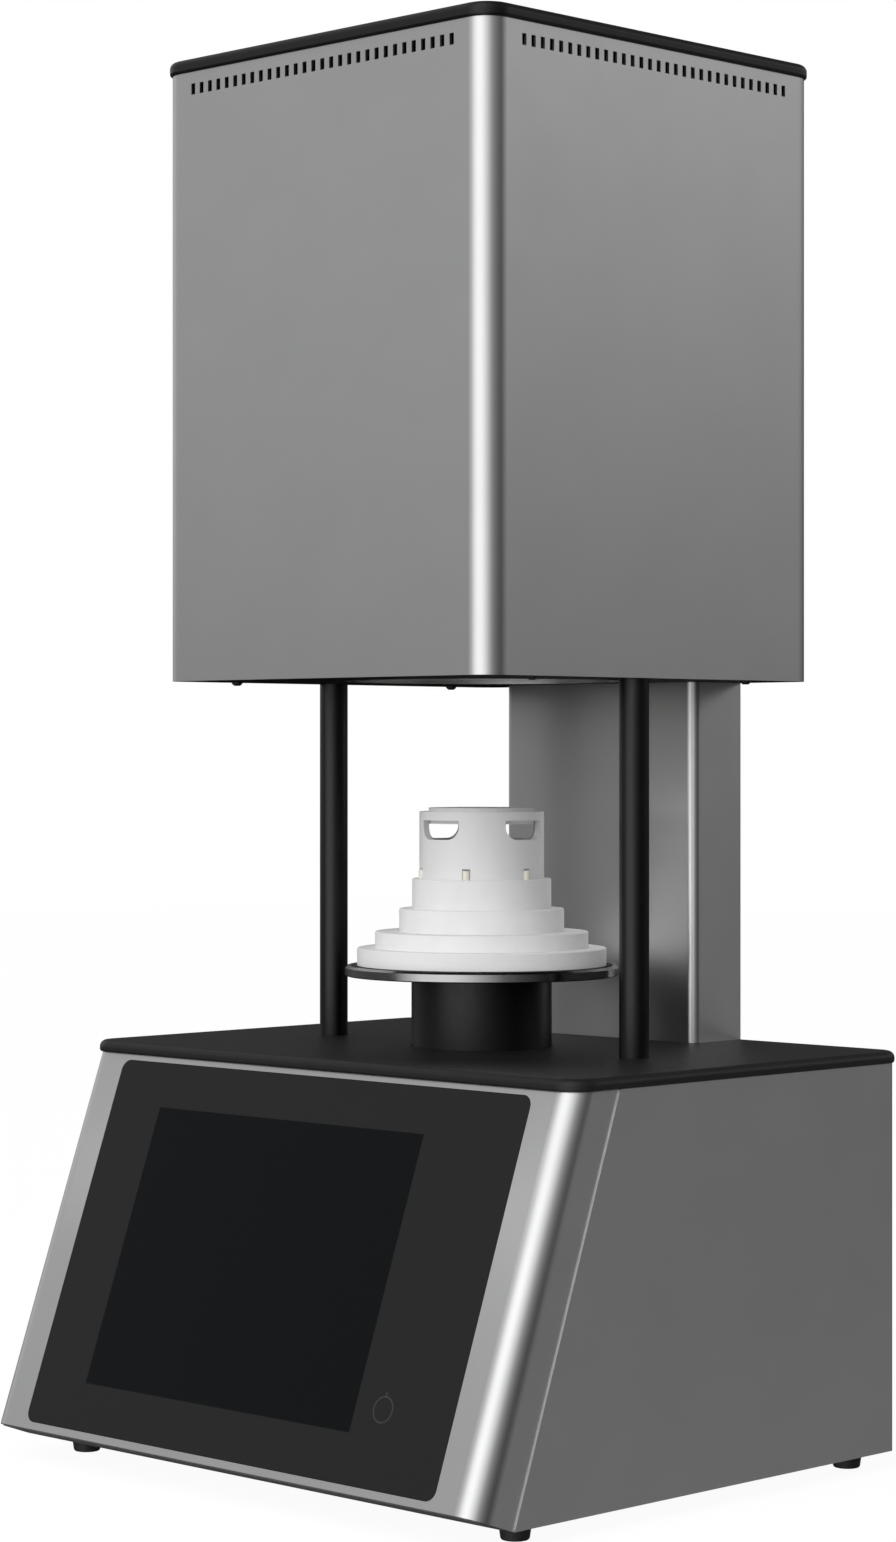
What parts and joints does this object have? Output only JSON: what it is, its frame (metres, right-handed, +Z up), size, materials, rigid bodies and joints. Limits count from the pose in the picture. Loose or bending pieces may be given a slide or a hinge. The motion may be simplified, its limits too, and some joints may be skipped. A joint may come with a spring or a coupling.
{
  "type": "dental sintering furnace",
  "caption": "Bottom-loading furnace: slanted touch display on a sheet-metal base, lift table with a stepped plug and a lidded crucible, front posts, rear column and a tall heating housing.",
  "frame": {"origin": "bottom centre of the bounding box, on the surface that the feet stand on", "axes": "+Z up, +X to the right of someone who faces the display, -Y towards that person; the lift axis is vertical at x = 0"},
  "size_m": [0.3856, 0.342, 0.7883],
  "materials": {
    "casing_paint": "satin",
    "black_paint": "satin",
    "tray_metal": "matte",
    "polished_steel": "polished",
    "hard_chrome": "polished",
    "steel": "satin",
    "aluminium": "satin",
    "motor_black": "satin",
    "bronze": "satin",
    "winding": "gloss",
    "front_glass": "gloss",
    "display_black": "gloss",
    "board_green": "satin",
    "black_plastic": "satin",
    "rocker_plastic": "gloss",
    "socket_metal": "satin",
    "foot_rubber": "matte",
    "belt_rubber": "matte",
    "seat_fibre": "matte",
    "plug_ceramic": "matte",
    "pin_ceramic": "satin",
    "crucible_ceramic": "satin",
    "chamber_ceramic": "matte",
    "element_metal": "satin"
  },
  "bodies": {
    "furnace": {"base_tray": "tray_metal", "base_shell": "casing_paint", "front_cover": "casing_paint", "top_plate": "black_paint", "feet": "foot_rubber", "foot_screws": "steel", "glass_panel": "front_glass", "display_frame": "tray_metal", "display_module": "display_black", "control_board": "board_green", "mains_module": "black_plastic", "fuse_drawer": "black_plastic", "network_socket": "socket_metal", "data_socket": "socket_metal", "fan_frame": "black_plastic", "fan_guard": "steel", "transformer": "winding", "guide_bush": "aluminium", "guide_rods": "hard_chrome", "motor_bracket": "tray_metal", "lift_motor": "motor_black", "drive_belt": "belt_rubber", "screw_bearing": "steel", "column_frame": "tray_metal", "column_cover": "casing_paint", "column_back": "casing_paint", "post_left": "black_paint", "post_right": "black_paint", "post_tie_rods": "steel", "housing_shell": "casing_paint", "housing_cap": "black_paint", "housing_floor": "black_paint", "mouth_ring": "polished_steel", "mouth_board_1": "chamber_ceramic", "mouth_board_2": "chamber_ceramic", "mouth_board_3": "chamber_ceramic", "mouth_board_4": "chamber_ceramic", "chamber_wall": "chamber_ceramic", "chamber_roof": "chamber_ceramic", "inner_casing": "tray_metal", "heating_elements": "element_metal", "terminal_clamps": "pin_ceramic", "thermocouple": "pin_ceramic", "casing_screws": "steel"},
    "lift_table": {"pedestal_tube": "black_paint", "carriage": "aluminium", "linear_bearings": "hard_chrome", "lift_nut": "bronze", "lift_disc": "polished_steel", "plug_seat": "seat_fibre", "plug_base": "plug_ceramic", "plug_body": "plug_ceramic", "centring_pins": "pin_ceramic"},
    "crucible": {"crucible": "crucible_ceramic"},
    "crucible_lid": {"crucible_lid": "crucible_ceramic"},
    "lead_screw": {"lead_screw": "hard_chrome", "screw_pulley": "aluminium"},
    "motor_rotor": {"motor_pulley": "aluminium"},
    "fan_rotor": {"fan_rotor": "black_plastic"},
    "mains_rocker": {"mains_rocker": "rocker_plastic"}
  },
  "joints": [
    {"name": "lift", "type": "slide", "parent": "furnace", "child": "lift_table", "axis": [0, 0, 1], "range_m": [0, 0.16]},
    {"name": "screw_spin", "type": "hinge", "parent": "furnace", "child": "lead_screw", "pos_m": [0, 0.03003, 0.02], "axis": [0, 0, 1], "range_deg": [0, 5761]},
    {"name": "motor_spin", "type": "hinge", "parent": "furnace", "child": "motor_rotor", "pos_m": [-0.106, 0.09203, 0.03], "axis": [0, 0, 1], "range_deg": [0, 5761]},
    {"name": "fan_spin", "type": "hinge", "parent": "furnace", "child": "fan_rotor", "pos_m": [0.125, 0.15023, 0.1603], "axis": [0, 1, 0], "continuous": true},
    {"name": "rocker_turn", "type": "hinge", "parent": "furnace", "child": "mains_rocker", "pos_m": [-0.128, 0.16073, 0.0943], "axis": [1, 0, 0], "range_deg": [0, 16]},
    {"name": "crucible_lift", "type": "slide", "parent": "lift_table", "child": "crucible", "axis": [0, 0, 1], "range_m": [0, 0.03]},
    {"name": "lid_lift", "type": "slide", "parent": "crucible", "child": "crucible_lid", "axis": [0, 0, 1], "range_m": [0, 0.03]}
  ],
  "couplings": [
    {"joint": "screw_spin", "follows": "lift", "rad_per_m": 628.32},
    {"joint": "motor_spin", "follows": "lift", "rad_per_m": 628.32}
  ]
}
